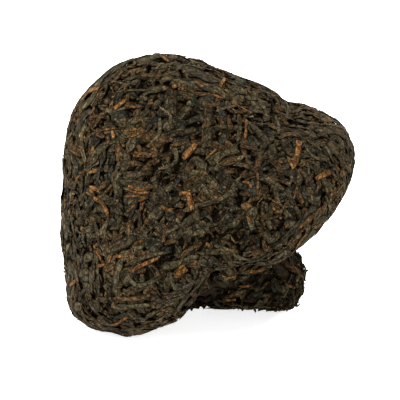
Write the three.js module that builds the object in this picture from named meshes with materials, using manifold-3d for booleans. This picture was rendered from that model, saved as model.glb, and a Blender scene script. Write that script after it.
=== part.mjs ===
// A mushroom tuocha: tea leaves pressed into a cone-shaped cap with a rolled rim, on a short rough stem.
// It lies tipped over on the two places where a fallen mushroom touches the table: a flattened spot of
// the rim, and the end of the stem. Leaves and stalks stand a little proud of the pressed surface.
// Millimetres, +Z up. The origin is the middle of the underside of the part's box.

import * as THREE from "three";
import { mergeVertices } from "three/addons/utils/BufferGeometryUtils.js";
import Module from "manifold-3d";

const wasm = await Module();
wasm.setup();

// ---------------------------------------------------------------------------------------------------
// Driving dimensions
// ---------------------------------------------------------------------------------------------------

// The cap. Heights on the mushroom are measured along its own axis from the widest level of the rim.
const CAP_RADIUS = 49.8;
const RIM_ROUND = 15.2; // radius of the rim's rolled edge
const FLANK_ANGLE = 33.8; // degrees between the cap's side and the axis
const TIP_RADIUS = 30;

// The stem. Its end is broken obliquely: it reaches further towards the raised side and the far side,
// as far as a ridge where the last piece has come off.
const STEM_RADIUS = 17;
const STEM_REACH = 34.7; // below the widest level, on the axis
const STEM_END_ROUND = 4.5;
const NECK_FILLET = 5;
const END_SLOPE_RAISED = 0.55; // millimetres further for each millimetre towards the raised side
const END_SLOPE_FAR = 0.54;
const END_RIDGE = { bearing: 25, reach: 7.5, slope: 1.65 };

// How it lies. Bearings on the mushroom run from its raised side, 0, past its far side, 90 degrees.
const LEAN = 34; // degrees between the axis and the vertical
const HEADING = -13; // degrees that the raised side is turned from +X
const WIDEST_LEVEL_HEIGHT = 30.9; // of the rim's centre above the table

// What hand pressing leaves: fuller and flatter places, each round a bearing and a height on the axis.
// { bearing, halfWidth } are in degrees, the rest in millimetres.
const PRESS_MARKS = {
  fullRim: { bearing: 24, halfWidth: 62, height: -6, halfHeight: 14, proud: 1.9 },
  crease: { bearing: 20, halfWidth: 48, height: 16.5, halfHeight: 4.5, proud: -1.9 },
  flatUnderRim: { bearing: 24, halfWidth: 45, height: -17, halfHeight: 6, proud: -1.4 },
  fullCorner: { bearing: -156, halfWidth: 32, height: -1, halfHeight: 8, proud: 1 },
  flatFlank: { bearing: -154, halfWidth: 40, height: 12, halfHeight: 7, proud: -1.2 },
  flatNearRim: { bearing: -118, halfWidth: 34, height: -10, halfHeight: 12, proud: -1.6 },
  filledNeck: { bearing: -146, halfWidth: 50, height: -20, halfHeight: 9, proud: 5 },
};
// A broken bite out of the rim beside the stem.
const RIM_BITE = { bearing: -77, halfWidth: 30, rise: 9, inward: 3.5 };
const UNEVENNESS = 0.9; // of the whole form
const UNEVENNESS_SIZE = 24;
const RELIEF = 0.8; // of the leaves that lie flush
const RELIEF_SIZE = 6.5;
const STEM_ROUGHNESS = 1.5;
const STEM_ROUGHNESS_SIZE = 6.5;

// The mesh of the pressed surface.
const ROUND_STEPS = 64;
const MERIDIAN_STEPS = 38;

// Leaves that stand proud, at true size.
const LEAF_COUNT = 42;
const LEAF_LENGTH = { longest: 18, shortest: 10 };
const LEAF_WIDTH = { widest: 4, narrowest: 2.4 };
const LEAF_PROUD = 1;
const LEAF_SUNK = 0.7;
const LEAF_SPACING = 13.5; // between the middles of two leaves
const LEAF_STATIONS = 5;
const STEM_LEAF_COUNT = 7;
const STEM_LEAF_LIFT = 1.6; // how far the loose end of a leaf on the stem stands out
const SEED = 23;

const WELD = 0.03; // in the finished mesh, vertices about this close become one
const EXACT = 1e-4; // the same point, but for rounding

const TEA_COLOUR = 0x3a3124;

// ---------------------------------------------------------------------------------------------------
// Small helpers
// ---------------------------------------------------------------------------------------------------

const radians = THREE.MathUtils.degToRad;
const { clamp, lerp, smoothstep, euclideanModulo } = THREE.MathUtils;

// A seeded source of random numbers from 0 to 1.
function randomSource(seed) {
  let state = seed;
  return () => {
    state = (state + 0x6d2b79f5) | 0;
    let bits = Math.imul(state ^ (state >>> 15), 1 | state);
    bits = (bits + Math.imul(bits ^ (bits >>> 7), 61 | bits)) ^ bits;
    return ((bits ^ (bits >>> 14)) >>> 0) / 2 ** 32;
  };
}

// The value, from -1 to 1, of one corner of the lattice that the smooth field below runs through.
function latticeValue(i, j, k) {
  const mixed = Math.sin(i * 127.1 + j * 311.7 + k * 74.7) * 43758.5453;
  return 2 * (mixed - Math.floor(mixed)) - 1;
}

// A smooth random field in space with hills of the given size, from -1 to 1.
function smoothField(point, size, shift = 0) {
  const at = [point.x / size + shift, point.y / size + shift, point.z / size + shift];
  const low = at.map(Math.floor);
  const ease = at.map((value, axis) => smoothstep(value - low[axis], 0, 1));
  let total = 0;
  for (const corner of [0, 1, 2, 3, 4, 5, 6, 7]) {
    const step = [corner & 1, (corner >> 1) & 1, corner >> 2];
    const share = step.reduce((part, one, axis) => part * (one ? ease[axis] : 1 - ease[axis]), 1);
    total += share * latticeValue(low[0] + step[0], low[1] + step[1], low[2] + step[2]);
  }
  return total;
}

// 1 in the middle of a feature, falling smoothly to 0 at its half-width and beyond.
function fade(distance, halfWidth) {
  const part = Math.min(1, Math.abs(distance) / halfWidth);
  return (1 - part * part) ** 2;
}

// The shorter way round from one bearing to another, in degrees.
function bearingGap(from, to) {
  return euclideanModulo(to - from + 180, 360) - 180;
}

// ---------------------------------------------------------------------------------------------------
// The meridian: half of the mushroom's section, from the tip of the cap to the middle of the stem's end
// ---------------------------------------------------------------------------------------------------

function makeMeridian() {
  const flank = radians(FLANK_ANGLE);
  const rimCentre = CAP_RADIUS - RIM_ROUND;
  const tipCentre = (rimCentre * Math.cos(flank) + RIM_ROUND - TIP_RADIUS) / Math.sin(flank);
  const path = new THREE.Path();
  path.moveTo(0, tipCentre + TIP_RADIUS);
  path.absarc(0, tipCentre, TIP_RADIUS, Math.PI / 2, flank, true);
  path.absarc(rimCentre, 0, RIM_ROUND, flank, -Math.PI / 2, true);
  path.absarc(STEM_RADIUS + NECK_FILLET, -RIM_ROUND - NECK_FILLET, NECK_FILLET, Math.PI / 2, Math.PI, false);
  path.absarc(STEM_RADIUS - STEM_END_ROUND, STEM_END_ROUND - STEM_REACH, STEM_END_ROUND, 0, -Math.PI / 2, true);
  path.lineTo(0, -STEM_REACH);
  return path;
}

const meridian = makeMeridian();
const MERIDIAN_LENGTH = meridian.getLength();

// ---------------------------------------------------------------------------------------------------
// The pressed surface, as a function
// ---------------------------------------------------------------------------------------------------

// How far pressing and the leaves push a point of the plain form out of its surface.
function pushedOut(plain, bearing) {
  const { x, y, z } = plain;
  let marks = 0;
  for (const mark of Object.values(PRESS_MARKS)) {
    const around = fade(bearingGap(mark.bearing, bearing), mark.halfWidth);
    marks += mark.proud * around * fade(z - mark.height, mark.halfHeight);
  }
  const onStem = 1 - smoothstep(z, -RIM_ROUND - NECK_FILLET, -RIM_ROUND);
  const nearAxis = Math.hypot(x, y) < STEM_RADIUS + NECK_FILLET ? onStem : 0;
  const roughness = STEM_ROUGHNESS * nearAxis * smoothField(plain, STEM_ROUGHNESS_SIZE, 5);
  const form = UNEVENNESS * smoothField(plain, UNEVENNESS_SIZE, 1);
  const relief = RELIEF * smoothField(plain, RELIEF_SIZE, 3);
  return marks + roughness + form + relief;
}

// The bite out of the rim lifts the rim's lower edge and presses it in.
function biteShare(plain, bearing) {
  const radius = Math.hypot(plain.x, plain.y);
  const around = fade(bearingGap(RIM_BITE.bearing, bearing), RIM_BITE.halfWidth);
  const onRim = smoothstep(radius, STEM_RADIUS + 1, STEM_RADIUS + NECK_FILLET + 4);
  return around * onRim * (1 - smoothstep(plain.z, -RIM_ROUND, 0));
}

// How much further down the stem's broken end reaches here. It fades out towards the neck.
function endDrop(plain) {
  const share = 1 - smoothstep(plain.z, 3 - STEM_REACH, -RIM_ROUND - NECK_FILLET);
  const ridge = radians(END_RIDGE.bearing);
  const pastRidge = Math.max(0, plain.x * Math.cos(ridge) + plain.y * Math.sin(ridge) - END_RIDGE.reach);
  const oblique = END_SLOPE_RAISED * plain.x + END_SLOPE_FAR * plain.y;
  return share * (oblique - END_RIDGE.slope * pastRidge);
}

// A point of the surface, on the upright mushroom. travel is the way along the meridian from the tip.
function surfacePoint(bearing, travel) {
  const share = clamp(travel / MERIDIAN_LENGTH, 0, 1);
  const section = meridian.getPointAt(share);
  const along = meridian.getTangentAt(share);
  const turn = radians(bearing);
  const plain = new THREE.Vector3(section.x * Math.cos(turn), section.x * Math.sin(turn), section.y);
  const out = pushedOut(plain, bearing);
  const bite = biteShare(plain, bearing);
  const onAxis = section.x < 1e-6;
  const radius = onAxis ? 0 : Math.max(0.1, section.x - along.y * out - RIM_BITE.inward * bite);
  const height = section.y + (onAxis ? Math.sign(section.y) : along.x) * out + RIM_BITE.rise * bite;
  return new THREE.Vector3(radius * Math.cos(turn), radius * Math.sin(turn), height - endDrop(plain));
}

// ---------------------------------------------------------------------------------------------------
// From geometries to solids
// ---------------------------------------------------------------------------------------------------

// Merges the vertices that share a cell of the given size, and drops the triangles that this closes up.
function merged(geometry, cell) {
  geometry.deleteAttribute("normal");
  geometry.deleteAttribute("uv");
  const joined = mergeVertices(geometry, cell);
  const corners = joined.index.array;
  const kept = [];
  for (let i = 0; i < corners.length; i += 3) {
    const [a, b, c] = corners.slice(i, i + 3);
    if (a !== b && b !== c && c !== a) kept.push(a, b, c);
  }
  return joined.setIndex(kept);
}

// Joins leave slivers. Cells in two positions, half a cell apart, catch the pairs that one set splits.
function welded(geometry) {
  const half = WELD / 2;
  const first = merged(geometry, WELD).translate(half, half, half);
  return merged(first, WELD).translate(-half, -half, -half);
}

function solidFrom(geometry) {
  const joined = merged(geometry, EXACT);
  return new wasm.Manifold(
    new wasm.Mesh({
      numProp: 3,
      vertProperties: joined.attributes.position.array,
      triVerts: new Uint32Array(joined.index.array),
    }),
  );
}

function geometryFrom(solid) {
  const mesh = solid.getMesh();
  const geometry = new THREE.BufferGeometry();
  geometry.setAttribute("position", new THREE.BufferAttribute(mesh.vertProperties, 3));
  geometry.setIndex(new THREE.BufferAttribute(mesh.triVerts, 1));
  return geometry;
}

// The pressed body: a lathed meridian whose vertices are moved onto the surface.
function pressedBody() {
  const section = meridian.getSpacedPoints(MERIDIAN_STEPS);
  const geometry = new THREE.LatheGeometry(section.reverse(), ROUND_STEPS);
  const position = geometry.attributes.position;
  for (let i = 0; i <= ROUND_STEPS; i++) {
    const bearing = (i % ROUND_STEPS) * (360 / ROUND_STEPS) - 90;
    for (let j = 0; j <= MERIDIAN_STEPS; j++) {
      const travel = MERIDIAN_LENGTH * (1 - j / MERIDIAN_STEPS);
      position.setXYZ(i * (MERIDIAN_STEPS + 1) + j, ...surfacePoint(bearing, travel));
    }
  }
  return solidFrom(geometry);
}

// ---------------------------------------------------------------------------------------------------
// Leaves
// ---------------------------------------------------------------------------------------------------

// A leaf lies along the surface from its middle: heading is its direction in degrees, 0 along the
// bearing and 90 towards the stem, and bend turns it as it goes. A loose leaf's far end stands out.
function leafSolid({ bearing, travel, heading, bend, length, width, lift = 0 }) {
  const radius = Math.max(6, Math.hypot(...surfacePoint(bearing, travel).toArray().slice(0, 2)));
  const placeAt = (step) => {
    const way = radians(heading + bend * step);
    const ahead = step * length;
    const turned = THREE.MathUtils.radToDeg((ahead * Math.cos(way)) / radius);
    return [bearing + turned, travel + ahead * Math.sin(way)];
  };
  const geometry = new THREE.CylinderGeometry(1, 1, 1, 4, LEAF_STATIONS - 1);
  const position = geometry.attributes.position;
  const corner = new THREE.Vector3();
  for (let i = 0; i < position.count; i++) {
    corner.fromBufferAttribute(position, i);
    const step = clamp(corner.y, -0.5, 0.5);
    const [turn, way] = placeAt(step);
    const [turnOn, wayOn] = placeAt(step + 0.05);
    const middle = surfacePoint(turn, way);
    const ahead = surfacePoint(turnOn, wayOn).sub(middle).normalize();
    const nextRound = surfacePoint(turn + 2, way).sub(middle);
    const nextDown = surfacePoint(turn, way + 0.8).sub(middle);
    const outward = nextDown.cross(nextRound).normalize();
    const side = new THREE.Vector3().crossVectors(ahead, outward).normalize();
    const taper = lerp(1, 0.3, (2 * Math.abs(step)) ** 2.4);
    const depth = corner.z > 0 ? LEAF_PROUD : LEAF_SUNK;
    const loose = lift * smoothstep(step, 0, 0.5);
    middle.addScaledVector(side, (corner.x * taper * width) / 2);
    middle.addScaledVector(outward, corner.z * taper * depth + loose);
    position.setXYZ(i, middle.x, middle.y, middle.z);
  }
  return solidFrom(geometry);
}

// Leaves all over the cap, largest first, none too near another.
function capLeaves(random) {
  const places = [];
  const reach = MERIDIAN_LENGTH * 0.78; // the cap, down to its underside
  for (let tries = 0; places.length < LEAF_COUNT && tries < 4000; tries++) {
    const bearing = 360 * random();
    const travel = reach * Math.sqrt(random());
    const middle = surfacePoint(bearing, travel);
    if (places.some((other) => other.middle.distanceTo(middle) < LEAF_SPACING)) continue;
    const share = places.length / LEAF_COUNT;
    const alongRim = smoothstep(travel, reach * 0.35, reach * 0.75);
    places.push({
      bearing,
      travel,
      middle,
      heading: lerp(180, 50, alongRim) * (random() - 0.5),
      bend: 50 * (random() - 0.5),
      length: lerp(LEAF_LENGTH.longest, LEAF_LENGTH.shortest, share) * lerp(0.9, 1.1, random()),
      width: lerp(LEAF_WIDTH.widest, LEAF_WIDTH.narrowest, share) * lerp(0.9, 1.1, random()),
    });
  }
  return places;
}

// Loose leaves round the stem, where the pressing is weak.
function stemLeaves(random) {
  const start = MERIDIAN_LENGTH * 0.86;
  return Array.from({ length: STEM_LEAF_COUNT }, (_, index) => ({
    bearing: (360 * index) / STEM_LEAF_COUNT + 20 * random(),
    travel: start + 9 * random(),
    heading: 70 * (random() - 0.5),
    bend: 40 * (random() - 0.5),
    length: lerp(8, 13, random()),
    width: lerp(2.2, 3.4, random()),
    lift: STEM_LEAF_LIFT * random(),
  }));
}

// ---------------------------------------------------------------------------------------------------
// The whole part
// ---------------------------------------------------------------------------------------------------

// The upright mushroom is leaned over, turned, and set at its height over the table.
function layDown(solid) {
  const geometry = geometryFrom(solid);
  const lean = new THREE.Matrix4().makeRotationY(-radians(LEAN));
  const heading = new THREE.Matrix4().makeRotationZ(radians(HEADING));
  geometry.applyMatrix4(lean).applyMatrix4(heading).translate(0, 0, WIDEST_LEVEL_HEIGHT);
  return solidFrom(geometry);
}

// What would reach below the table is pressed flat, which gives the two spots that it rests on.
function flattenedByTable(solid) {
  const depth = 60;
  const table = new THREE.BoxGeometry(400, 400, depth).translate(0, 0, -depth / 2);
  const pieces = solid.subtract(solidFrom(table)).decompose();
  return pieces.reduce((largest, piece) => (piece.volume() > largest.volume() ? piece : largest));
}

function makeTuocha() {
  const random = randomSource(SEED);
  let solid = pressedBody();
  for (const leaf of [...capLeaves(random), ...stemLeaves(random)]) solid = solid.add(leafSolid(leaf));
  const geometry = welded(geometryFrom(flattenedByTable(layDown(solid))));
  geometry.computeBoundingBox();
  const { min, max } = geometry.boundingBox;
  geometry.translate(-(min.x + max.x) / 2, -(min.y + max.y) / 2, -min.z);
  geometry.computeVertexNormals();
  const material = new THREE.MeshStandardMaterial({ color: TEA_COLOUR, roughness: 0.85, metalness: 0 });
  const mesh = new THREE.Mesh(geometry, material);
  mesh.name = "pressed_tea";
  return mesh;
}

const tuocha = new THREE.Group();
tuocha.add(makeTuocha());

export default tuocha;
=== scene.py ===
# %% [markdown]
# # A mushroom tuocha
#
# Tea leaves that were steamed, packed into a cloth and pressed by hand into a cap with a short stem,
# now dry and lying tipped over on a pale table. What the eye reads is not the block but its skin:
# thousands of rolled leaves, pressed flush, with dark cracks between them, and here and there a
# golden tip. This lesson starts from the bare solid of the block and lays every leaf on it, one after
# another, each on top of those that lie there already, and then presses them all down.

import math

import bpy
import numpy as np
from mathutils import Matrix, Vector, noise
from mathutils.bvhtree import BVHTree
from mathutils.kdtree import KDTree


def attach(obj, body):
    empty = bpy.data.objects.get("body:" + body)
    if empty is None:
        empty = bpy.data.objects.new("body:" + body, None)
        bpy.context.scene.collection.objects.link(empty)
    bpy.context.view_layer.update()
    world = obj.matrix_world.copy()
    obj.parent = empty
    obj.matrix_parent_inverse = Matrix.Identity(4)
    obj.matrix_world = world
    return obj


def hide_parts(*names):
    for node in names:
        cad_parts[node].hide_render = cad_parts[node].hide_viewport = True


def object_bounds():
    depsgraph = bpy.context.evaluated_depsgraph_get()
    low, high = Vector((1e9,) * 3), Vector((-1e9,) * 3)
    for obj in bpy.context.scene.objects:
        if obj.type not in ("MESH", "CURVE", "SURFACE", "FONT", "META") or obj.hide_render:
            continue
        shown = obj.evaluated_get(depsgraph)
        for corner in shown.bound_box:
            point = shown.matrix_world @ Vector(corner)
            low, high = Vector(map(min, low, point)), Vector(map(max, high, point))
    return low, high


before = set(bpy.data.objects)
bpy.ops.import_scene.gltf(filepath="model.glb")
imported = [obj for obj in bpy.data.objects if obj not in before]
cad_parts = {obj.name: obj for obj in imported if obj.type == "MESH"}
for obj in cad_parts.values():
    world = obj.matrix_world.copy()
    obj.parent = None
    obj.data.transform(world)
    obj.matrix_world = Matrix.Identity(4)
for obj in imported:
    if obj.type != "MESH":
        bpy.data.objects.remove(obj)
solid_box = [list(corner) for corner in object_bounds()]
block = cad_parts["pressed_tea"]
MM = 0.001
SIDES = [round((high - low) / MM, 1) for low, high in zip(*solid_box)]
print("the bare block measures", SIDES, "mm and has", len(block.data.polygons), "triangles")

# %% [markdown]
# ## The camera
#
# The photograph looks down on the table by 24 degrees, through a long lens: nothing in it converges.
# One pixel of its 400 spans 0.305 mm at the tea. An orthographic camera would do as well, but a long
# lens keeps the faint perspective of a real one. The camera comes first because some leaves further
# on are placed where the photograph shows them, by a ray from this camera.

# %% The camera
PICTURE_SIDE = 400
PIXEL = 0.305 * MM
LOOK_DOWN = math.radians(24)
DISTANCE = 0.9
LOOK_AT = Vector((-2.44, 0, 37.0)) * MM

camera_data = bpy.data.cameras.new("camera")
camera_data.lens = camera_data.sensor_width * DISTANCE / (PICTURE_SIDE * PIXEL)
camera_data.clip_start = 0.05
camera = bpy.data.objects.new("camera", camera_data)
bpy.context.scene.collection.objects.link(camera)
backwards = Vector((0, -math.cos(LOOK_DOWN), math.sin(LOOK_DOWN)))
camera.location = LOOK_AT + backwards * DISTANCE
camera.rotation_euler = (math.pi / 2 - LOOK_DOWN, 0, 0)
bpy.context.scene.camera = camera
print("lens", round(camera_data.lens), "mm at", DISTANCE, "m")


def ray_through(pixel):
    """Where the camera's ray through a pixel of the photograph starts, and its direction."""
    right = Vector((1, 0, 0))
    up = Vector((0, math.sin(LOOK_DOWN), math.cos(LOOK_DOWN)))
    middle = PICTURE_SIDE / 2
    target = LOOK_AT + right * (pixel[0] - middle) * PIXEL + up * (middle - pixel[1]) * PIXEL
    return camera.location.copy(), (target - camera.location).normalized()


# %% [markdown]
# ## The ground that the leaves lie on
#
# Inside, the block is a dense mass of broken leaf. It could be modelled by hand, but its form is
# already in the bare solid, so that is copied, rebuilt as an even grid of small faces by the Remesh
# modifier, smoothed, and drawn in by the thickness of the leaves that are coming. A fine one is for
# measuring only. A coarser one is kept and shows in the cracks.

# %% The ground
SKIN = 1.5 * MM         # the layer of leaves between the ground and the surface of the block
FINE = 0.62 * MM        # the size of a face
COARSE = 0.95 * MM


def remeshed(name, face_size, smoothing, inset):
    """A copy of the block as an even mesh, smoothed and drawn in, as a new linked object."""
    piece = bpy.data.objects.new(name, block.data.copy())
    bpy.context.scene.collection.objects.link(piece)
    remesh = piece.modifiers.new("even faces", "REMESH")
    remesh.mode = "VOXEL"
    remesh.voxel_size = face_size
    smooth = piece.modifiers.new("smooth", "SMOOTH")
    smooth.iterations = smoothing
    smooth.factor = 0.5
    depsgraph = bpy.context.evaluated_depsgraph_get()
    even = bpy.data.meshes.new_from_object(piece.evaluated_get(depsgraph))
    piece.modifiers.clear()
    piece.data = even
    even.materials.clear()
    points = np.empty(len(even.vertices) * 3)
    normals = np.empty(len(even.vertices) * 3)
    even.vertices.foreach_get("co", points)
    even.vertex_normals.foreach_get("vector", normals)
    even.vertices.foreach_set("co", points - normals * inset)
    even.update()
    return piece


fine_ground = remeshed("fine_ground", FINE, smoothing=20, inset=SKIN)
ground_points = np.array([v.co for v in fine_ground.data.vertices])
ground_normals = np.array([v.normal for v in fine_ground.data.vertices])
ground_tree = BVHTree.FromPolygons(
    [v.co for v in fine_ground.data.vertices],
    [tuple(p.vertices) for p in fine_ground.data.polygons],
)
near_points = KDTree(len(ground_points))
for index, point in enumerate(ground_points):
    near_points.insert(point, index)
near_points.balance()
bpy.data.objects.remove(fine_ground)
print("the fine ground has", len(ground_points), "points")

# %% [markdown]
# ## Where the cap ends and the stem begins
#
# The cap was pressed hard and its leaves lie flush. The stem was only twisted together in the cloth,
# so its leaves stick out. The parts could be painted as a vertex group, but two distances say as much:
# how far a point is below the cap's widest level, and how far out from the mushroom's own axis.

# %% The mushroom's axis
LEAN = math.radians(34)
HEADING = math.radians(-13)
RIM_CENTRE = Vector((-0.39, -0.7, 30.9)) * MM      # the middle of the cap's widest level
AXIS = Vector((-math.sin(LEAN) * math.cos(HEADING), -math.sin(LEAN) * math.sin(HEADING),
               math.cos(LEAN)))
STEM_TOP = -14 * MM     # below the widest level, along the axis
STEM_SPREAD = 22 * MM   # the stem and its neck lie within this distance of the axis


def on_mushroom(point):
    """How far a point is above the cap's widest level, along the axis, and how far out from it."""
    offset = Vector(point) - RIM_CENTRE
    above = offset.dot(AXIS)
    return above, (offset - AXIS * above).length


def is_stem(point):
    above, out = on_mushroom(point)
    return above < STEM_TOP and out < STEM_SPREAD


in_stem = np.array([is_stem(point) for point in ground_points])
print("the stem has", round(100 * in_stem.mean()), "% of the surface")

# %% [markdown]
# ## Walking a leaf over the ground
#
# A leaf is laid along a path. It could be drawn flat and wrapped on by a modifier, but then it
# stretches over the rim. Here it walks instead: a short step ahead, back down to the nearest point of
# the ground, and on, turning a little at each step. So every leaf keeps its true length and width
# wherever it lies. At each station the walk notes its place and the direction straight out.

# %% Walking
dice = np.random.default_rng(1)
KINKED = 0.35           # the share of leaves with a sharp bend
KINK = (0.5, 1.3)       # how sharp, in radians


def onto_ground(point):
    place, normal, _, _ = ground_tree.find_nearest(Vector(point))
    return place, normal


def walk(start, ahead, step, turns):
    """The places and outward directions met on a walk that starts in the direction ahead."""
    place, outward = onto_ground(start)
    places, outwards = [], []
    for turn in turns:
        ahead = ahead - outward * ahead.dot(outward)
        ahead.normalize()
        side = outward.cross(ahead)
        ahead = ahead * math.cos(turn) + side * math.sin(turn)
        place, outward = onto_ground(place + ahead * step)
        places.append(place)
        outwards.append(outward)
    return places, outwards


def path_from_middle(middle, ahead, length, stations, bend, waver):
    """A path of that length over the ground, with its middle and its direction there given."""
    step = length / (stations - 1)
    half = (stations - 1) // 2
    turns = bend / (stations - 1) + waver * dice.standard_normal(stations - 1)
    if dice.random() < KINKED:
        turns[dice.integers(0, stations - 1)] += dice.choice([-1, 1]) * dice.uniform(*KINK)
    place, outward = onto_ground(middle)
    after, after_out = walk(middle, ahead.copy(), step, turns[half:])
    before, before_out = walk(middle, -ahead, step, -turns[:half])
    return (np.array(before[::-1] + [place] + after),
            np.array(before_out[::-1] + [outward] + after_out))


# %% [markdown]
# ## The shape of one leaf
#
# A rolled leaf is a strip about 7 mm long and 2 mm wide that was twisted while wet: it has long
# folds that wander across it, its ends are pointed or torn off, and its edges are uneven. It could be
# a subdivided plane with a wave modifier. Thousands of them are lighter as rings of points swept
# along the path: six points over the top, which carry the folds, and one below.

# %% A leaf's width
START_TAPER = 0.12              # the shares of its length over which a leaf narrows to its ends
END_TAPER = 0.2
BLUNTNESS = [0.3, 0.6, 0.9]     # the share of the width that an end keeps
NARROWEST = 0.15
WIDEST = 1.3
RAGGED = 0.5                    # how much the width wanders along the leaf


def unit(vectors):
    return vectors / np.maximum(np.linalg.norm(vectors, axis=-1, keepdims=True), 1e-12)


def evened(values):
    """Values along a leaf, each evened out with the ones before and after it."""
    padded = np.concatenate([values[:1], values, values[-1:]])
    return 0.27 * padded[:-2] + 0.46 * padded[1:-1] + 0.27 * padded[2:]


def widths_along(stations, blunt_start, blunt_end, raggedness):
    """The half-width at each station as a share, from a blunt or pointed start to its end."""
    along = np.linspace(0, 1, stations)
    start = np.maximum(np.clip(along / START_TAPER, 0, 1) ** 0.5, blunt_start)
    end = np.maximum(np.clip((1 - along) / END_TAPER, 0, 1) ** 0.5, blunt_end)
    ragged = 1 + raggedness * evened(dice.standard_normal((stations, 1)))[:, 0]
    return np.clip(start * end * ragged, NARROWEST, WIDEST)


# %% A leaf's rings
OVER = np.array([-1.0, -0.66, -0.24, 0.24, 0.66, 1.0])      # places across the leaf
ACROSS = np.append(OVER, 0.0)
RING = len(ACROSS)
BELOW = RING - 1                # the place in a ring of the one point below
NEAR_CENTRE = 3                 # and of one near the middle of the top
UNDERSIDE = -0.1 * MM
BROAD_FOLDS = 3.4               # radians of a wave from the middle of a leaf to its edge
FINE_FOLDS = 6.5
FULL_TURN = 6.3
WANDER = 3.5                    # the most that folds drift across, in radians from end to end
FOLDED = 1 - 0.6 * OVER**4      # folds and crumples are shallower towards the edges
THICK = 1 - 0.8 * OVER**6       # and the leaf is thinner there
ARCHED = 1 - OVER**2
CRUMPLE = 0.21 * MM
STEEPEST = math.radians(48)     # no leaf tilts more


def leaf_rings(path, outwards, lay, width, thickness, folds, tilt, twist, crown, raggedness=RAGGED):
    """The points of a leaf's rings, each as a place on the ground and a height above it."""
    stations = len(path)
    ahead = unit(np.gradient(path, axis=0))
    side = unit(np.cross(outwards, ahead))
    share = widths_along(stations, *dice.choice(BLUNTNESS, 2), raggedness)
    half = (width / 2 * share)[:, None]
    along = np.linspace(0, 1, stations)[:, None]
    wander = dice.uniform(0, FULL_TURN) + along * dice.uniform(-WANDER, WANDER)
    fold = folds * (np.cos(BROAD_FOLDS * OVER + wander) + 0.6 * np.cos(FINE_FOLDS * OVER - 1.7 * wander))
    crumple = CRUMPLE * evened(dice.standard_normal((stations, len(OVER))))
    lean = np.tan(np.clip(tilt + twist * (along - 0.5), -STEEPEST, STEEPEST))
    rise = crown * ARCHED * share[:, None] + (fold + crumple) * FOLDED
    over = thickness * share[:, None] ** 0.5 * THICK + rise + lean * OVER * half
    under = np.full((stations, 1), UNDERSIDE)
    height = np.concatenate([over, under], axis=1) + lay[:, None]
    base = path[:, None, :] + side[:, None, :] * (ACROSS * half)[:, :, None]
    return base, height


# %% [markdown]
# ## Laying one leaf on the others
#
# A real leaf doesn't cut through its neighbours: it lies on them and bends over their edges. A cloth
# simulation of thousands of leaves is out of reach, so each point of the fine ground keeps one number,
# the height of the leaves on it. A new leaf reads that number under each of its stations, smooths it,
# because a leaf is stiff, lies there, and raises the number by its own thickness.

# %% Laying
pile = np.zeros(len(ground_points))
FOOTPRINT = 0.46        # how far to each side a leaf rests on the pile, as a share of its width
RESTS_ON_HIGHEST = 0.6  # a leaf lies between the mean height under it, 0, and the highest, 1
STIFFNESS_ROUNDS = 2
SINK = 0.22 * MM        # how far a leaf is pushed into what it lies on
LUCK = 0.3 * MM         # keeps the choice of a bare place from being too regular


def points_under(place, reach):
    return [index for _, index, _ in near_points.find_range(Vector(place), reach)]


def height_under(points):
    if not points:
        return 0
    return pile[points].max() * RESTS_ON_HIGHEST + pile[points].mean() * (1 - RESTS_ON_HIGHEST)


def lay_on_pile(path, width, thickness):
    """The height at which each station of a leaf comes to lie. The pile grows by the leaf."""
    beneath = [points_under(place, max(FOOTPRINT * width, FINE)) for place in path]
    ground = np.array([height_under(points) for points in beneath])
    lay = ground
    for _ in range(STIFFNESS_ROUNDS):
        lay = evened(lay)
    lay = np.maximum(lay, ground - SINK)
    for points, height in zip(beneath, lay):
        pile[points] = np.maximum(pile[points], height + thickness)
    return lay


def barest_of(tries, allowed):
    """A point of the ground that few leaves cover yet: the barest of some drawn at random."""
    drawn = allowed[dice.integers(0, len(allowed), tries)]
    return drawn[np.argmin(pile[drawn] + LUCK * dice.random(tries))]


# %% [markdown]
# ## The kinds of leaf
#
# Sorted on a table, the broken-up block would give a few heaps: nearly black leaves, dusky, olive and
# brown ones, golden tips, pale stalks, and broken bits. One mesh with a colour for each leaf would be
# simpler, but a heap of its own gives each kind its sizes and its finish. The sizes are those that the
# photograph shows: most leaves 4 to 10 mm long and 1.5 to 3 mm wide.

# %% Kinds


class Heap:
    """All leaves of one kind. Their rings are collected here, and become one mesh at the end."""

    def __init__(self, name, length, width, thickness, folds, crown):
        """The shortest and longest, the narrowest and widest, and three heights, all in mm."""
        self.name = name
        self.length = length
        self.width = width
        self.thickness = thickness
        self.folds = folds
        self.crown = crown
        self.leaves = []

    def lay(self, path, outwards, width, tone, tilt=0.0, twist=0.0, lift=0.0, raggedness=RAGGED):
        """Lays one leaf of this kind along a path. lift raises its far end."""
        lay = lay_on_pile(path, width, self.thickness * MM)
        rise = lift * np.linspace(0, 1, len(path)) ** 2
        rings = leaf_rings(path, outwards, lay + rise, width, self.thickness * MM,
                           self.folds * MM, tilt, twist, self.crown * MM, raggedness)
        self.leaves.append((rings, outwards, tone, rise))


black = Heap("black_leaves", (3, 13), (1.2, 3.6), 0.42, 0.20, 0.09)
dusky = Heap("dusky_leaves", (3, 13), (1.2, 3.6), 0.42, 0.20, 0.09)
olive = Heap("olive_leaves", (3.5, 14), (1.1, 3.4), 0.42, 0.20, 0.09)
brown = Heap("brown_leaves", (2.5, 11), (1.0, 3.0), 0.40, 0.18, 0.09)
golden = Heap("golden_tips", (2, 7), (0.8, 1.7), 0.34, 0.10, 0.20)
stalk = Heap("pale_stalks", (4, 13), (0.5, 1.0), 0.40, 0.04, 0.26)
broken = Heap("broken_leaves", (1.2, 3.6), (0.6, 1.7), 0.36, 0.12, 0.12)
HEAPS = [black, dusky, olive, brown, golden, stalk, broken]

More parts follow.
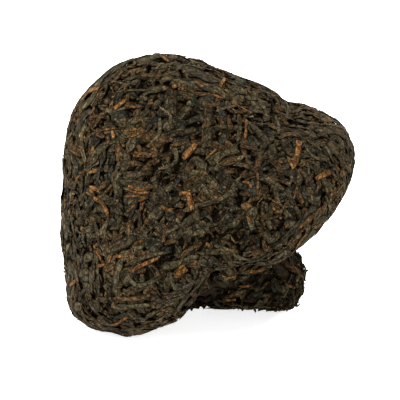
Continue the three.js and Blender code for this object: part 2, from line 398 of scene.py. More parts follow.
# %% [markdown]
# ## Hollows
#
# Where the rim turns in to the stem, and in a few spots on the stem, leaves are missing and the eye
# looks into the dark of the block. Holes could be cut afterwards, but that would cut leaves in two, so
# the spots are kept free from the start: no drawn leaf may cross them.

# %% Hollows
HOLLOWS = [
    ("left of the neck", 2.0, (184, 297)),
    ("left of the neck, lower", 1.6, (182, 306)),
    ("under the rim", 2.2, (205, 291)),
    ("under the rim, upper", 1.8, (212, 268)),
    ("under the rim, middle", 1.3, (196, 284)),
    ("at the stem's shoulder", 2.0, (285, 270)),
    ("on the stem's corner", 1.2, (292, 291)),
    ("in the middle of the stem", 1.3, (277, 266)),
    ("on the stem, low", 1.1, (250, 302)),
    ("at the upper left", 1.0, (110, 94)),
]
hollow = np.zeros(len(ground_points), bool)
for _, radius, pixel in HOLLOWS:
    place = ground_tree.ray_cast(*ray_through(pixel))[0]
    hollow[points_under(place, radius * MM)] = True
print(int(hollow.sum()), "points of the ground stay bare")

# %% [markdown]
# ## A leaf drawn at random
#
# No two leaves are alike. Length, width, bend, tilt, twist and tone are each drawn from a spread of
# their own. An even spread would look like cut noodles, so short leaves are more common than long
# ones, and a slow noise over the block makes some areas coarse and others fine, as a hand packs it.

# %% One leaf at random
STATION_STEP = 1.1 * MM
FEWEST_STATIONS = 4
LENGTH_SPREAD = (1.3, 2.4)      # of a beta distribution from the shortest to the longest
WIDTH_SPREAD = (1.6, 2.2)
ZONE = 13 * MM                  # the size of the coarse and fine areas
ZONE_CONTRAST = 0.9
BEND = 0.75                     # radians from end to end
WAVER = 0.2                     # radians at a station
TILT, LOOSE_TILT = 0.15, 0.2    # radians, and what the stem adds
TWIST, LOOSE_TWIST = 0.25, 0.3
STEM_SHORTER = 0.35
# The stem's leaves are drawn darker: painted shade under the cap, and partly their own browner colour.
STEM_DARKER = 0.5
LOOSE_END = 0.6 * MM            # how far the end of a leaf on the stem stands off
LIES_FLAT = 4 * MM              # below this height the table holds the leaves down


def some_leaf(heap, allowed, loose=0.0, tries=5):
    """Lays a leaf of a heap somewhere bare, in a random direction. loose is for the stem."""
    index = barest_of(tries, allowed)
    middle, outward = Vector(ground_points[index]), Vector(ground_normals[index])
    random_way = Vector(dice.standard_normal(3))
    ahead = random_way - outward * random_way.dot(outward)
    ahead.normalize()
    zone = (1 + ZONE_CONTRAST * noise.noise(middle / ZONE)) * (1 - STEM_SHORTER * loose)
    low, high = heap.length
    length = (low + (high - low) * dice.beta(*LENGTH_SPREAD)) * MM * zone
    low, high = heap.width
    width = (low + (high - low) * dice.beta(*WIDTH_SPREAD)) * MM * zone ** 0.7
    stations = max(FEWEST_STATIONS, int(round(length / STATION_STEP)) + 1)
    bend = dice.normal(0, BEND)
    path, outwards = path_from_middle(middle, ahead, length, stations, bend, WAVER)
    if any(hollow[near_points.find(place)[1]] for place in path):
        return
    tilt = dice.normal(0, TILT + LOOSE_TILT * loose)
    twist = dice.normal(0, TWIST + LOOSE_TWIST * loose)
    lift = max(0, dice.normal(0, LOOSE_END)) * loose
    if path[:, 2].min() < LIES_FLAT:
        tilt, twist, lift = 0, 0, 0
    # On the stem the tone is lowered, as painted shade under the cap.
    tone = dice.random() * (1 - STEM_DARKER * loose)
    heap.lay(path, outwards, width, tone, tilt, twist, lift)


# %% [markdown]
# ## The bed and the skin
#
# First a bed of leaves that only show through the cracks, then the skin. A particle system would
# scatter them blindly, some places twice and others never. Here each goes where the pile is low, so
# the block is covered evenly. Last come crumbs on top, and a few golden tips on the unseen side.

# %% Most of the leaves
stem_points = np.flatnonzero(in_stem)
cap_points = np.flatnonzero(~in_stem)
FACES_CAMERA = 0.1      # the cosine from which a place counts as seen in the photograph
far_points = cap_points[ground_normals[cap_points] @ np.array(backwards) < FACES_CAMERA]
LAYERS = 2
LEAVES = 4600
BROKEN = 3000
STEM_LEAVES = 900
TOP_CRUMBS = 700
FAR_TIPS = 75
MIX = [(black, 0.22), (dusky, 0.26), (olive, 0.22), (brown, 0.24), (golden, 0.014), (stalk, 0.025)]
shares = np.array([share for _, share in MIX])


def drawn_heap():
    return MIX[dice.choice(len(MIX), p=shares / shares.sum())][0]


for _ in range(LAYERS):
    for _ in range(BROKEN // LAYERS):
        some_leaf(broken, cap_points)
    for _ in range(LEAVES // LAYERS):
        some_leaf(drawn_heap(), cap_points)
for _ in range(STEM_LEAVES):
    some_leaf(drawn_heap(), stem_points, loose=1)
for _ in range(TOP_CRUMBS):
    some_leaf(broken, cap_points, tries=1)
for _ in range(FAR_TIPS):
    some_leaf(golden, far_points, tries=1)
    some_leaf(brown, far_points, tries=1)
print("the pile is", round(pile.mean() / MM, 2), "mm deep on average, at most", round(pile.max() / MM, 2))

# %% [markdown]
# ## Leaves that the photograph shows
#
# Some leaves catch the eye: the golden tips, a broad dark leaf, a long stalk. They could be placed by
# hand in three dimensions, but the eye knows them in the picture. So each is given by two or more
# pixels of the photograph, from one end to the other, and lies on the block wherever the camera's ray
# meets it. They come last, so they lie on top.

# %% Leaves listed one by one
PLACED = {
    golden: [
        ("tip near the upper left edge", 2.6, [(86, 104), (92, 95), (103, 92)]),
        ("yellow tip below it", 2.3, [(118, 111), (122, 107), (128, 102)]),
        ("tip right of that", 1.1, [(128, 108), (136, 110), (144, 109)]),
        ("tip above the pale one", 1.0, [(124, 131), (132, 131), (140, 129)]),
        ("pale tip", 1.2, [(130, 137), (139, 135), (149, 132)]),
        ("short tip left of it", 1.3, [(115, 132), (117, 139)]),
        ("tip at the top, right", 1.8, [(194, 85), (202, 91)]),
        ("tip at the top, middle", 1.3, [(161, 61), (168, 66)]),
        ("tip below the top, right", 1.4, [(212, 99), (219, 102)]),
        ("wide brown tip", 2.4, [(184, 160), (190, 154), (197, 146)]),
        ("upper of three strips", 1.2, [(131, 186), (143, 191), (156, 189)]),
        ("middle of three strips", 0.9, [(130, 190), (141, 195), (152, 194)]),
        ("lower of three strips", 0.9, [(129, 197), (135, 198), (141, 197)]),
        ("chip under the strips", 1.6, [(140, 202), (148, 199)]),
        ("bent tip at the left", 1.7, [(97, 198), (106, 202), (112, 217)]),
        ("tip left of the bent one", 1.4, [(93, 187), (100, 189), (104, 193)]),
        ("angled tip, upper arm", 1.6, [(181, 195), (192, 194)]),
        ("angled tip, lower arm", 2.0, [(190, 194), (192, 203), (195, 212)]),
        ("upright tip", 1.0, [(244, 122), (245, 131), (244, 141)]),
        ("slanting tip, upper right", 0.8, [(234, 109), (241, 112), (249, 117)]),
        ("large golden leaf", 2.3, [(297, 145), (296, 158), (291, 172)]),
        ("golden end beside it", 1.4, [(287, 163), (291, 170)]),
        ("tip on the lobe", 1.6, [(312, 180), (319, 177), (327, 173)]),
        ("tip on the lobe's top", 1.0, [(306, 114), (314, 114), (321, 116)]),
        ("thin tip, right", 1.0, [(307, 193), (309, 200)]),
        ("tip in the middle", 1.0, [(247, 214), (249, 220), (252, 224)]),
        ("reddish tip, middle", 1.2, [(243, 184), (249, 184), (251, 190)]),
        ("orange chip below the middle", 3.0, [(176, 276), (181, 270), (187, 266)]),
        ("long tip, lower left", 1.4, [(136, 271), (144, 266), (160, 259)]),
        ("slanting tip, left", 1.2, [(97, 244), (101, 252), (105, 260)]),
        ("tip above the broad leaf's end", 1.4, [(138, 244), (146, 240)]),
        ("tip below the broad leaf", 1.2, [(119, 257), (127, 256)]),
        ("tip under the left edge", 1.3, [(101, 266), (110, 264)]),
        ("tip at the left edge", 1.4, [(75, 286), (81, 280)]),
        ("tip at the left edge, higher", 1.5, [(68, 181), (69, 172)]),
        ("tip near the bottom", 1.2, [(112, 320), (121, 318), (128, 313)]),
        ("tip above the stem", 1.2, [(292, 246), (296, 238), (302, 231)]),
        ("tip over the neck", 1.0, [(239, 284), (248, 284)]),
        ("reddish stalk over the neck", 1.0, [(221, 273), (229, 274), (237, 273)]),
        ("pale edge near the right", 1.5, [(294, 226), (301, 220)]),
        ("golden brown, left", 1.2, [(97, 146), (95, 153)]),
        ("slip at the left", 1.3, [(93, 173), (103, 170)]),
        ("thin tip right of the centre", 0.9, [(206, 160), (216, 152)]),
        ("tip at the top, far right", 1.3, [(218, 90), (223, 82)]),
        ("curved tip, lower middle", 1.3, [(163, 207), (170, 213), (175, 210)]),
        ("tip under the lobe", 1.0, [(334, 190), (336, 200)]),
        ("chip by the curled leaf", 1.0, [(270, 201), (276, 204)]),
        ("chip below it", 0.9, [(271, 209), (276, 211)]),
        ("tip at the right, low", 1.0, [(282, 226), (286, 223)]),
        ("tip at the middle band", 1.0, [(207, 243), (212, 248)]),
        ("long pale tip over the neck", 1.3, [(243, 268), (255, 270), (263, 268)]),
        ("tip on the stem", 1.2, [(228, 298), (236, 299)]),
        ("tip at the stem's edge", 1.1, [(283, 286), (291, 287)]),
    ],
    dusky: [
        ("broad dark leaf", 3.6, [(108, 252), (122, 246), (140, 237)]),
        ("dark leaf under the edge", 2.2, [(156, 181), (160, 190), (168, 200)]),
        ("wide leaf above the strips", 2.6, [(126, 176), (141, 176), (153, 172)]),
        ("dark leaf, upper left", 2.2, [(102, 92), (111, 84), (121, 76)]),
        ("dark patch, top right", 2.6, [(190, 77), (203, 84), (216, 86)]),
        ("dark leaf, right of the centre", 2.2, [(252, 158), (262, 152), (272, 140)]),
        ("curling leaf on the right", 1.8, [(268, 182), (280, 190), (291, 202), (297, 218)]),
        ("dark block, upper right", 2.8, [(250, 128), (262, 140), (266, 146)]),
        ("broad dark leaf, upper middle", 2.6, [(166, 139), (178, 134), (196, 133)]),
        ("dark leaf, top", 1.8, [(161, 74), (172, 67)]),
        ("dark leaf near the top", 1.8, [(226, 91), (237, 98)]),
        ("dark flat leaf on the lobe", 2.4, [(304, 166), (313, 175)]),
        ("curved leaf on the lobe", 1.9, [(315, 140), (328, 136), (339, 138)]),
        ("wide dark leaf, left", 2.4, [(120, 181), (135, 184), (150, 186)]),
    ],
    olive: [
        ("long leaf over the middle", 2.0, [(185, 212), (205, 208), (225, 199), (238, 190)]),
        ("curved leaf, lower left", 1.8, [(131, 276), (140, 285), (152, 282), (162, 274)]),
        ("leaf on the crease", 1.3, [(282, 105), (285, 115), (284, 125)]),
        ("leaf over the lobe, upper", 1.6, [(277, 142), (293, 139), (307, 146)]),
        ("leaf over the lobe, lower", 1.6, [(300, 142), (312, 149), (320, 154)]),
        ("upright leaf, upper right", 1.5, [(237, 118), (239, 130), (236, 146)]),
        ("leaf along the middle band", 1.8, [(207, 252), (222, 250), (240, 258)]),
        ("leaf above the neck", 1.6, [(240, 270), (255, 270), (270, 265)]),
        ("bottom leaf, long", 2.2, [(116, 304), (135, 303), (152, 302)]),
        ("leaf below the broad one", 1.4, [(128, 266), (150, 257), (172, 252)]),
        ("strip, upper left", 1.3, [(86, 126), (89, 119), (96, 112)]),
        ("thin curved leaf, upper left", 1.0, [(119, 132), (123, 138), (128, 141)]),
        ("hooked leaf", 1.2, [(160, 110), (171, 118), (170, 128)]),
        ("curved leaf left of the middle", 1.3, [(160, 120), (161, 135), (153, 145)]),
        ("bow in the upper middle", 1.3, [(176, 150), (178, 162), (171, 168), (160, 170)]),
        ("thin strip, top", 0.9, [(120, 95), (140, 93), (160, 94)]),
        ("thin strip, top left", 0.9, [(115, 85), (123, 87), (131, 90)]),
        ("long leaf, top right", 1.6, [(225, 96), (233, 100), (241, 105)]),
        ("long leaf below it", 1.5, [(215, 114), (224, 111), (233, 110)]),
        ("big leaf, centre", 3.0, [(210, 165), (219, 157), (237, 152)]),
        ("curved leaf at the crease", 1.3, [(273, 118), (276, 129), (277, 138)]),
        ("pale curve on the lobe", 1.2, [(321, 148), (325, 154), (327, 161)]),
        ("leaf at the lobe's foot", 1.4, [(321, 195), (324, 203), (327, 211)]),
        ("wide leaf, lower middle", 2.4, [(163, 268), (185, 262), (200, 255)]),
        ("long curved leaf, lower middle", 1.6, [(172, 275), (175, 284), (180, 292)]),
        ("thin leaf, bottom", 1.0, [(155, 308), (163, 302), (170, 295)]),
        ("pale leaf beside the band", 1.8, [(203, 268), (198, 278), (187, 289)]),
        ("leaf along the band, right", 1.6, [(215, 245), (233, 252), (250, 256)]),
        ("curved leaf at the bottom", 1.5, [(100, 318), (106, 324), (112, 329)]),
        ("fine leaf on the lobe, upper", 1.0, [(300, 112), (314, 113), (326, 117)]),
        ("fine leaf on the lobe, second", 1.0, [(302, 118), (316, 120), (330, 121)]),
        ("fine leaf on the lobe, third", 1.1, [(306, 127), (320, 128), (334, 131)]),
    ],
    brown: [
        ("flat brown leaf, centre", 2.8, [(220, 165), (228, 164), (236, 163)]),
        ("tan leaf over the band", 1.7, [(182, 258), (190, 250), (203, 243)]),
        ("brown leaf, right edge", 3.0, [(326, 146), (332, 152), (338, 158)]),
        ("brown strip, top", 1.5, [(140, 80), (160, 80), (178, 78)]),
        ("stalk-like strip", 1.1, [(256, 172), (257, 184), (257, 198)]),
        ("leaf jutting at the stem", 1.3, [(279, 262), (290, 271), (299, 279)]),
        ("tan leaf, upper left", 1.6, [(96, 117), (108, 119)]),
        ("reddish leaf, upper left", 1.3, [(90, 131), (95, 126)]),
        ("thin brown leaf, upper left", 1.0, [(95, 135), (107, 131), (120, 129)]),
        ("upright tan leaf", 1.2, [(139, 112), (140, 121)]),
        ("upright tan leaf beside it", 1.1, [(127, 118), (128, 127)]),
        ("brown leaf, upper middle", 1.4, [(172, 148), (181, 146), (190, 143)]),
        ("curved brown leaf, top", 1.4, [(187, 92), (195, 98), (205, 98)]),
        ("tan leaf, top right", 1.4, [(205, 109), (218, 108)]),
        ("tan leaf on the lobe", 1.2, [(293, 122), (301, 120)]),
        ("wide tan leaf on the lobe", 2.2, [(280, 140), (291, 138), (300, 142)]),
        ("upright tan leaf, right edge", 1.3, [(340, 132), (343, 141), (343, 151)]),
        ("tan leaf, right edge", 1.6, [(336, 164), (340, 172)]),
        ("reddish curve under the lobe", 1.2, [(320, 185), (323, 192)]),
        ("brown leaf under the lobe", 1.4, [(329, 178), (338, 182)]),
        ("thin leaf, lobe's foot", 0.9, [(299, 170), (305, 166), (311, 162)]),
        ("thin tan leaf, left", 1.0, [(105, 197), (110, 190), (116, 184)]),
        ("reddish leaf, left", 1.3, [(130, 212), (138, 206)]),
        ("wide brown leaf, left", 1.8, [(147, 221), (156, 226)]),
        ("upright tan leaf, left", 1.2, [(132, 225), (133, 236)]),
        ("tan leaf, lower left", 1.3, [(109, 231), (112, 239)]),
        ("reddish leaf, centre", 1.6, [(240, 195), (252, 196)]),
        ("reddish leaf, lower middle", 1.6, [(225, 250), (232, 262)]),
        ("reddish bits, lower middle", 1.4, [(250, 243), (262, 250)]),
        ("orange bit, bottom", 1.6, [(152, 287), (158, 291)]),
        ("brown band, bottom left", 1.7, [(116, 297), (135, 296), (152, 292)]),
        ("reddish bits, upper right", 1.3, [(216, 119), (222, 127)]),
        ("ridge on the stem", 2.0, [(208, 300), (225, 298), (245, 288)]),
        ("brown slant on the stem", 1.8, [(280, 261), (289, 268), (297, 276)]),
        ("reddish bit on the stem", 1.4, [(262, 295), (269, 295)]),
        ("small bit in the centre", 1.4, [(243, 168), (249, 171)]),
    ],
}


PLACED_STEP = 0.8 * MM
FEWEST_PLACED_STATIONS = 6
PLACED_TONE = (0.25, 0.7)
PLACED_TILT = 0.05
PLACED_RAGGED = 0.2


def path_by_pixels(pixels):
    """A path over the ground below the curve through some pixels, without those that miss it."""
    met = [ground_tree.ray_cast(*ray_through(pixel))[0] for pixel in pixels]
    corners = np.array([place for place in met if place is not None])
    lengths = np.concatenate([[0], np.cumsum(np.linalg.norm(np.diff(corners, axis=0), axis=1))])
    stations = max(FEWEST_PLACED_STATIONS, int(round(lengths[-1] / PLACED_STEP)) + 1)
    where = np.linspace(0, lengths[-1], stations)
    points = np.stack([np.interp(where, lengths, corners[:, axis]) for axis in range(3)], axis=1)
    for _ in range(2):
        points[1:-1] = 0.25 * points[:-2] + 0.5 * points[1:-1] + 0.25 * points[2:]
    landed = [onto_ground(point) for point in points]
    return np.array([place for place, _ in landed]), np.array([outward for _, outward in landed])


for heap in (dusky, olive, brown, golden):
    for _, width, pixels in PLACED[heap]:
        path, outwards = path_by_pixels(pixels)
        heap.lay(path, outwards, width * MM, dice.uniform(*PLACED_TONE), dice.normal(0, PLACED_TILT),
                 raggedness=PLACED_RAGGED)
print(sum(len(leaves) for leaves in PLACED.values()), "leaves lie where the photograph shows them")

# %% [markdown]
# ## Pressing
#
# The cloth was pulled tight over it all. A Shrinkwrap modifier would flatten the leaves onto one
# surface. Instead, pressing maps every height to a smaller one: low heights stay, great ones are held
# back more and more. Because the map only ever rises, what lay on top still does, and no leaf is
# pushed through another. Below, the table stops whatever would go through it.

# %% Pressing
FREE_HEIGHT = 0.9 * MM
PRESS_ROOM = 1.3 * MM           # all that is higher shares this much more
ON_TABLE = 0.04 * MM
LEVEL = 0.001                   # the slope from which a direction counts as downwards


def pressed(height):
    above = np.maximum(height - FREE_HEIGHT, 0)
    return np.minimum(height, FREE_HEIGHT) + above / (1 + above / PRESS_ROOM)


def room_below(base, outwards):
    """How far each point can move outwards before it lands on the table."""
    fall = np.maximum(-outwards[:, None, 2], LEVEL)
    return np.maximum(base[:, :, 2] - ON_TABLE, 0) / fall


# %% [markdown]
# ## From rings to meshes
#
# Each heap becomes one mesh. Its leaves could be joined objects, but making and joining thousands of
# them is slow, so points and faces are collected as plain numbers first. Every point also stores what
# the finish needs to know: how far along and across its leaf it is, in millimetres, the leaf's tone,
# how high it lies in the pile, and how near the edge of the leaf.

# %% Leaves that show
HIDDEN_BELOW = 0.15 * MM


def shows(base, height):
    """Whether any station of a leaf lies near the top of the finished pile."""
    for place, highest in zip(base[:, BELOW], height.max(axis=1)):
        points = points_under(place, FINE)
        if points and pile[points].min() < highest + HIDDEN_BELOW:
            return True
    return False


for heap in HEAPS:
    laid = len(heap.leaves)
    heap.leaves = [leaf for leaf in heap.leaves if shows(*leaf[0])]
    print(laid - len(heap.leaves), "of", laid, heap.name, "are buried and left out")

# %% Meshes
END_FACES = [(6, 5, 4, 3), (6, 3, 2, 0), (0, 2, 1)]     # they close the ring at an end


def leaf_faces(first, stations):
    """The faces of one leaf, whose points are numbered from first on."""
    ring = np.arange(RING)
    following = (ring + 1) % RING
    faces = []
    for here in range(first, first + (stations - 1) * RING, RING):
        there = here + RING
        faces += np.stack([here + ring, here + following, there + following, there + ring], axis=1).tolist()
    last = first + (stations - 1) * RING
    faces += [[first + place for place in face] for face in END_FACES]
    faces += [[last + place for place in reversed(face)] for face in END_FACES]
    return faces


def heap_mesh(heap):
    """One mesh of all leaves of a heap, with what its finish needs stored at each point."""
    points, faces = [], []
    stored_values = {"along": [], "across": [], "tone": [], "height": [], "edge": []}
    first = 0
    for (base, height), outwards, tone, rise in heap.leaves:
        low = pressed(height - rise[:, None])
        out = np.minimum(low + rise[:, None], room_below(base, outwards))
        places = base + outwards[:, None, :] * out[:, :, None]
        places[:, :, 2] = np.maximum(places[:, :, 2], ON_TABLE)
        points.append(places.reshape(-1, 3))
        faces += leaf_faces(first, len(base))
        first += len(base) * RING
        length = np.linalg.norm(np.diff(base[:, NEAR_CENTRE], axis=0), axis=1).sum() / MM
        from_path = np.linalg.norm(base - base[:, BELOW:], axis=2) / MM
        everywhere = np.ones(height.shape)
        stored_values["along"].append(np.linspace(0, 1, len(base))[:, None] * length * everywhere)
        stored_values["across"].append(ACROSS * from_path)
        stored_values["tone"].append(tone * everywhere)
        stored_values["height"].append(np.clip(low / (FREE_HEIGHT + PRESS_ROOM), 0, 1))
        stored_values["edge"].append(np.abs(ACROSS) * everywhere)
    mesh = bpy.data.meshes.new(heap.name)
    mesh.from_pydata(np.concatenate(points).tolist(), [], faces)
    for name, values in stored_values.items():
        layer = mesh.attributes.new(name, "FLOAT", "POINT")
        layer.data.foreach_set("value", np.concatenate(values).ravel().astype(np.float32))
    mesh.shade_smooth()
    mesh.update()
    piece = bpy.data.objects.new(heap.name, mesh)
    bpy.context.scene.collection.objects.link(piece)
    mesh.calc_loop_triangles()
    print(heap.name, len(heap.leaves), "leaves,", len(mesh.loop_triangles), "triangles")
    return piece


heap_pieces = {heap: heap_mesh(heap) for heap in HEAPS}

# %% [markdown]
# ## The core
#
# What shows in the cracks is crumbled leaf, packed tight. Real crumbs would cost more triangles than
# all the leaves, and hardly show. So the coarser ground is given bumps of their size, and no crack
# ends on a smooth floor.

# %% The core
CRUMB = 1.6 * MM
CRUMB_HEIGHT = 0.35 * MM
UNDER_LEAVES = 0.1 * MM         # the core lies this much less deep than the ground, and closes gaps
core = remeshed("pressed_core", COARSE, smoothing=12, inset=SKIN - UNDER_LEAVES)
places = np.array([v.co for v in core.data.vertices])
outwards = np.array([v.normal for v in core.data.vertices])
bumps = np.array([noise.noise(Vector(place) / CRUMB) for place in places]) * CRUMB_HEIGHT
core.data.vertices.foreach_set("co", (places + outwards * bumps[:, None]).ravel())
core.data.update()
core.data.shade_smooth()
print("the core has", 2 * len(core.data.polygons), "triangles")

# %% [markdown]
# ## Shader maths in plain Python
#
# A finish is mostly arithmetic on masks. Wiring Math nodes by hand hides the sum, so a small class
# wraps a socket: adding or multiplying two of them adds the node that does it.

# %% The wire


class Wire:
    """An output socket on which Python's operators add Math nodes."""

    def __init__(self, tree, socket):
        self.tree = tree
        self.socket = socket

    def node(self, kind, settings=None, output=0, **inputs):
        """Any node: its settings first, then the values or wires of its sockets, by name."""
        made = self.tree.nodes.new(kind)
        for name, value in (settings or {}).items():
            if name == "stops":
                set_stops(made.color_ramp, value)
            else:
                setattr(made, name, value)
        for name, value in inputs.items():
            plug(self.tree, made, name.replace("_", " "), value)
        return Wire(self.tree, made.outputs[output])

    def maths(self, operation, *values):
        made = self.tree.nodes.new("ShaderNodeMath")
        made.operation = operation
        for place, value in enumerate(values):
            plug(self.tree, made, place, value)
        return Wire(self.tree, made.outputs[0])

    def __add__(self, other):
        return self.maths("ADD", self, other)

    def __sub__(self, other):
        return self.maths("SUBTRACT", self, other)

    def __rsub__(self, other):
        return self.maths("SUBTRACT", other, self)

    def __mul__(self, other):
        return self.maths("MULTIPLY", self, other)

    __radd__ = __add__
    __rmul__ = __mul__

    def held(self):
        """The same value, kept between 0 and 1."""
        return self.maths("MINIMUM", self.maths("MAXIMUM", self, 0), 1)


def plug(tree, made, name, value):
    """Gives a socket, found by name or place, a wire or a value."""
    sockets = made.inputs
    if isinstance(name, str):
        socket = next(s for s in sockets if s.name == name and s.enabled)
    else:
        socket = sockets[name]
    if isinstance(value, Wire):
        tree.links.new(value.socket, socket)
    elif hasattr(value, "__len__") and len(value) == 3 and len(socket.default_value) == 4:
        socket.default_value = (*value, 1)
    else:
        socket.default_value = value


def set_stops(ramp, stops):
    while len(ramp.elements) < len(stops):
        ramp.elements.new(1)
    for element, (place, colour) in zip(ramp.elements, stops):
        element.position = place
        element.color = (*colour, 1)

# %% [markdown]
# ## The finish of a leaf
#
# A dry rolled leaf is nearly black where it is whole, olive or brown where it is thin, and dull. It
# is crinkled like dried skin, and its colour runs in fibres along it, differs from leaf to leaf, and
# sinks into shade towards the cracks. A photograph of tea could be projected on it, but would repeat
# and smear. The sums below start from what each point stores, so they follow every leaf. All kinds
# share them and differ in their colours.

# %% Reading what the points store


def new_finish(name):
    material = bpy.data.materials.new(name)
    material.use_nodes = True
    tree = material.node_tree
    shader = tree.nodes["Principled BSDF"]
    return material, tree, shader


def stored(tree, name):
    """A value that each point of a mesh carries."""
    made = tree.nodes.new("ShaderNodeAttribute")
    made.attribute_name = name
    return Wire(tree, made.outputs["Fac"])


# %% The finish of a leaf
GLOSS = 0.003
ROUGHNESS = 0.6
DUST = 0.03                     # the pale bloom that shows at a slant
DUST_ROUGHNESS = 0.4
DUST_COLOUR = (0.80, 0.58, 0.26, 1)
SPECK = (0.075, 0.036, 0.012)   # brown crumbs that stick to a leaf
BLOTCHES = 450.0                # waves per metre, on the block
GRAIN = 1900.0
CREASE_SLOPE = 7                # how sharply a crease rises to the leaf beside it
SHADE_BELOW = 0.38              # the height in the pile, from 0 to 1, where full shade ends
PAINTED_EDGE_SHADE_FROM = 0.64                # where the painted shade at a leaf's edge begins, from 0 in its middle to 1
CRINKLE_DEPTH = 0.3 * MM


def leaf_finish(name, stops, speckled=0.2, depth_shade=0.8):
    material, tree, shader = new_finish(name)
    along, across = stored(tree, "along"), stored(tree, "across")
    tone, height = stored(tree, "tone"), stored(tree, "height")
    edge = stored(tree, "edge")
    place = Wire(tree, tree.nodes.new("ShaderNodeTexCoord").outputs["Object"])

    # Fibres run along the leaf; tone moves each leaf to a place of its own in the noise.
    strand = tone.node("ShaderNodeCombineXYZ", X=along * 0.3, Y=across * 1.5, Z=tone * 90)
    wrinkle = tone.node("ShaderNodeTexNoise", Vector=strand, Scale=1.0, Detail=2.0)
    blotch = tone.node("ShaderNodeTexNoise", Vector=place, Scale=BLOTCHES, Detail=2.0)
    grain = tone.node("ShaderNodeTexNoise", Vector=place, Scale=GRAIN, Detail=2.0)
    raised = ((wrinkle - 0.5) * 2.6 + 0.5).held()
    where = tone * 0.3 + (blotch - 0.5) * 0.9 + (raised - 0.5) * 0.4 + (grain - 0.5) * 1.2 + 0.33
    colour = tone.node("ShaderNodeValToRGB", {"stops": stops}, Fac=where.held())
    speck = ((grain * 0.6 + blotch * 0.4 - 0.56) * 14).held() * speckled
    speck_mix = tone.node("ShaderNodeMix", {"data_type": "RGBA"}, 2, Factor=speck, A=colour, B=SPECK)

    # Creases are the borders between the cells of a Voronoi texture, bent by the wrinkles.
    bent = tone.node("ShaderNodeCombineXYZ", X=along * 0.45 + wrinkle, Y=across * 1.2 + wrinkle * 1.3,
                     Z=tone * 70)
    cells = tone.node("ShaderNodeTexVoronoi", {"feature": "DISTANCE_TO_EDGE"}, Vector=bent, Scale=1.0)
    crease = (cells * CREASE_SLOPE).held()

    # Painted shade: deep leaves, creases and leaf edges are darker, where the cracks between leaves fall in
    # shade.
    # Painted shade: the lower a point lies in the pile, the darker its colour.
    painted_depth_shade = ((height - SHADE_BELOW) * 4.0).held() * depth_shade + (1 - depth_shade)
    # Painted shade along each leaf's edge, where the crack beside it falls dark; the edge is also a little
    # darker of its own.
    rim = 1 - ((edge - PAINTED_EDGE_SHADE_FROM) * 3.2).held() * 0.94
    # Painted shade in the creases and in the troughs of the wrinkles.
    painted_crease_shade = (raised * 0.3 + 0.7) * (crease * 0.8 + 0.28)
    shade = painted_depth_shade * painted_crease_shade * rim * ((grain - 0.5) * 0.9 + 1)
    dark = tone.node("ShaderNodeVectorMath", {"operation": "SCALE"}, Vector=speck_mix, Scale=shade)
    relief = tone.node("ShaderNodeBump", Strength=0.9, Distance=CRINKLE_DEPTH,
                       Height=raised * 0.5 + crease * 0.5 + grain * 0.4)
    shader.inputs["Specular IOR Level"].default_value = GLOSS
    shader.inputs["Sheen Weight"].default_value = DUST
    shader.inputs["Sheen Roughness"].default_value = DUST_ROUGHNESS
    shader.inputs["Sheen Tint"].default_value = DUST_COLOUR
    plug(tree, shader, "Base Color", dark)
    plug(tree, shader, "Roughness", (ROUGHNESS + (grain - 0.5) * 0.5).held())
    plug(tree, shader, "Normal", relief)
    return material


# %% The colours of the kinds
FINISHES = {
    black: leaf_finish("nearly black leaf", [
        (0.1, (0.006, 0.005, 0.003)), (0.6, (0.019, 0.018, 0.013)), (1.0, (0.048, 0.043, 0.029))]),
    dusky: leaf_finish("dusky leaf", [
        (0.1, (0.008, 0.006, 0.004)), (0.6, (0.029, 0.023, 0.013)), (1.0, (0.065, 0.049, 0.027))]),
    olive: leaf_finish("olive leaf", [
        (0.1, (0.012, 0.009, 0.005)), (0.6, (0.040, 0.033, 0.018)), (1.0, (0.084, 0.067, 0.036))]),
    brown: leaf_finish("brown leaf", [
        (0.1, (0.012, 0.007, 0.003)), (0.6, (0.043, 0.026, 0.012)), (1.0, (0.094, 0.050, 0.022))], 0.3),
    golden: leaf_finish("golden tip", [
        (0.1, (0.028, 0.013, 0.005)), (0.5, (0.078, 0.036, 0.012)), (1.0, (0.18, 0.092, 0.033))], 0.1, 0.6),
    stalk: leaf_finish("pale stalk", [
        (0.1, (0.022, 0.013, 0.005)), (0.6, (0.068, 0.042, 0.018)), (1.0, (0.14, 0.086, 0.038))]),
    broken: leaf_finish("broken leaf", [
        (0.1, (0.007, 0.005, 0.003)), (0.45, (0.032, 0.021, 0.011)),
        (0.75, (0.063, 0.035, 0.015)), (1.0, (0.125, 0.060, 0.023))], 0.35),
}

# %% [markdown]
# ## The finish of the core
#
# The crumbs in the cracks are brown black, painted darker than the leaves as shade of the cracks. A plain
# black would do from afar, but close by it looks like a hole in the mesh, so it has a grain and a relief.

# %% The finish of the core
CRUMB_GRAIN = 900.0             # waves per metre
CRUMB_RELIEF = 0.3 * MM


def core_finish():
    material, tree, shader = new_finish("crumbled leaf")
    place = Wire(tree, tree.nodes.new("ShaderNodeTexCoord").outputs["Object"])
    crumb = place.node("ShaderNodeTexNoise", Vector=place, Scale=CRUMB_GRAIN, Detail=3.0)
    # Painted shade: the crumbs' brown black is darkened for the shade of the cracks they lie in.
    colour = place.node("ShaderNodeValToRGB", {"stops": [(0.3, (0.003, 0.002, 0.001)),
                                                         (0.7, (0.014, 0.009, 0.005))]}, Fac=crumb)
    relief = place.node("ShaderNodeBump", Strength=0.8, Distance=CRUMB_RELIEF, Height=crumb)
    plug(tree, shader, "Base Color", colour)
    plug(tree, shader, "Normal", relief)
    shader.inputs["Roughness"].default_value = 0.85
    shader.inputs["Specular IOR Level"].default_value = 0.03
    return material


core.data.materials.append(core_finish())
for heap, piece in heap_pieces.items():
    piece.data.materials.append(FINISHES[heap])

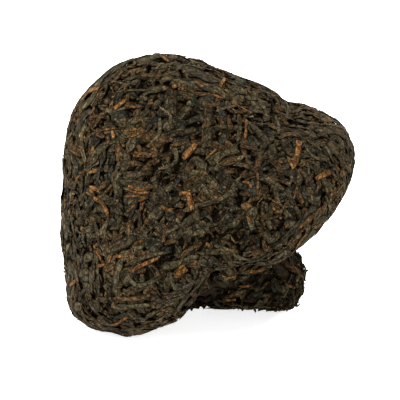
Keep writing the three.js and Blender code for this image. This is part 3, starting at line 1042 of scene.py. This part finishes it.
# %% [markdown]
# ## Floor and light
#
# The tea stands in a bright white tent: light comes from all round, most of it from above, and the
# table is so bright that hardly a shadow is left on it. An image of such a tent could light it, but a
# plain white world, a floor that glows and a few large soft lamps do the same without a file.

# %% Floor
bpy.context.scene.view_settings.view_transform = "Standard"
TABLE_HALF = 12.0               # metres, so that low views don't look past its end
TABLE_GLOW = 0.75               # the table is overexposed


def make_table():
    mesh = bpy.data.meshes.new("floor")
    half = TABLE_HALF
    mesh.from_pydata([(-half, -half, 0), (half, -half, 0), (half, half, 0), (-half, half, 0)], [],
                     [(0, 1, 2, 3)])
    table = bpy.data.objects.new("floor", mesh)
    bpy.context.scene.collection.objects.link(table)
    material, tree, shader = new_finish("pale table")
    place = Wire(tree, tree.nodes.new("ShaderNodeTexCoord").outputs["Object"])
    cloud = place.node("ShaderNodeTexNoise", Vector=place, Scale=3.0, Detail=1.0)
    colour = place.node("ShaderNodeValToRGB", {"stops": [(0.3, (0.90, 0.91, 0.91)),
                                                         (0.7, (0.93, 0.94, 0.94))]}, Fac=cloud)
    plug(tree, shader, "Base Color", colour)
    shader.inputs["Roughness"].default_value = 0.9
    shader.inputs["Specular IOR Level"].default_value = 0.1
    shader.inputs["Emission Color"].default_value = (1, 1, 1, 1)
    shader.inputs["Emission Strength"].default_value = TABLE_GLOW
    mesh.materials.append(material)


make_table()

# %% Light
LAMPS = [
    ("from above, left", (-0.55, -0.1, 0.75), 0.35, 18),
    ("from the left", (-1.0, 0.15, 0.25), 0.5, 9),
    ("from above, right", (0.65, 0.0, 0.65), 0.4, 12),
    ("from the front", (0.2, -1.0, 0.5), 0.8, 4),
    ("from behind", (0.1, 1.0, 0.45), 0.8, 11),
]
TENT_GLOW = 0.6

for name, place, size, watts in LAMPS:
    lamp_data = bpy.data.lights.new(name, "AREA")
    lamp_data.size = size
    lamp_data.energy = watts
    lamp = bpy.data.objects.new(name, lamp_data)
    bpy.context.scene.collection.objects.link(lamp)
    lamp.location = place
    lamp.rotation_euler = (LOOK_AT - Vector(place)).to_track_quat("-Z", "Y").to_euler()

tent = bpy.data.worlds.new("white tent")
bpy.context.scene.world = tent
tent.use_nodes = True
tent.node_tree.nodes["Background"].inputs["Color"].default_value = (1, 1, 1, 1)
tent.node_tree.nodes["Background"].inputs["Strength"].default_value = TENT_GLOW
print(len(LAMPS), "lamps of", sum(watts for *_, watts in LAMPS), "W in all")

# %% [markdown]
# ## What rides on what
#
# The whole block is one body. The core stands for the bare solid, and the leaves go with it.

# %% Riding
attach(core, "root")
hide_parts("pressed_tea")
for piece in heap_pieces.values():
    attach(piece, "root")
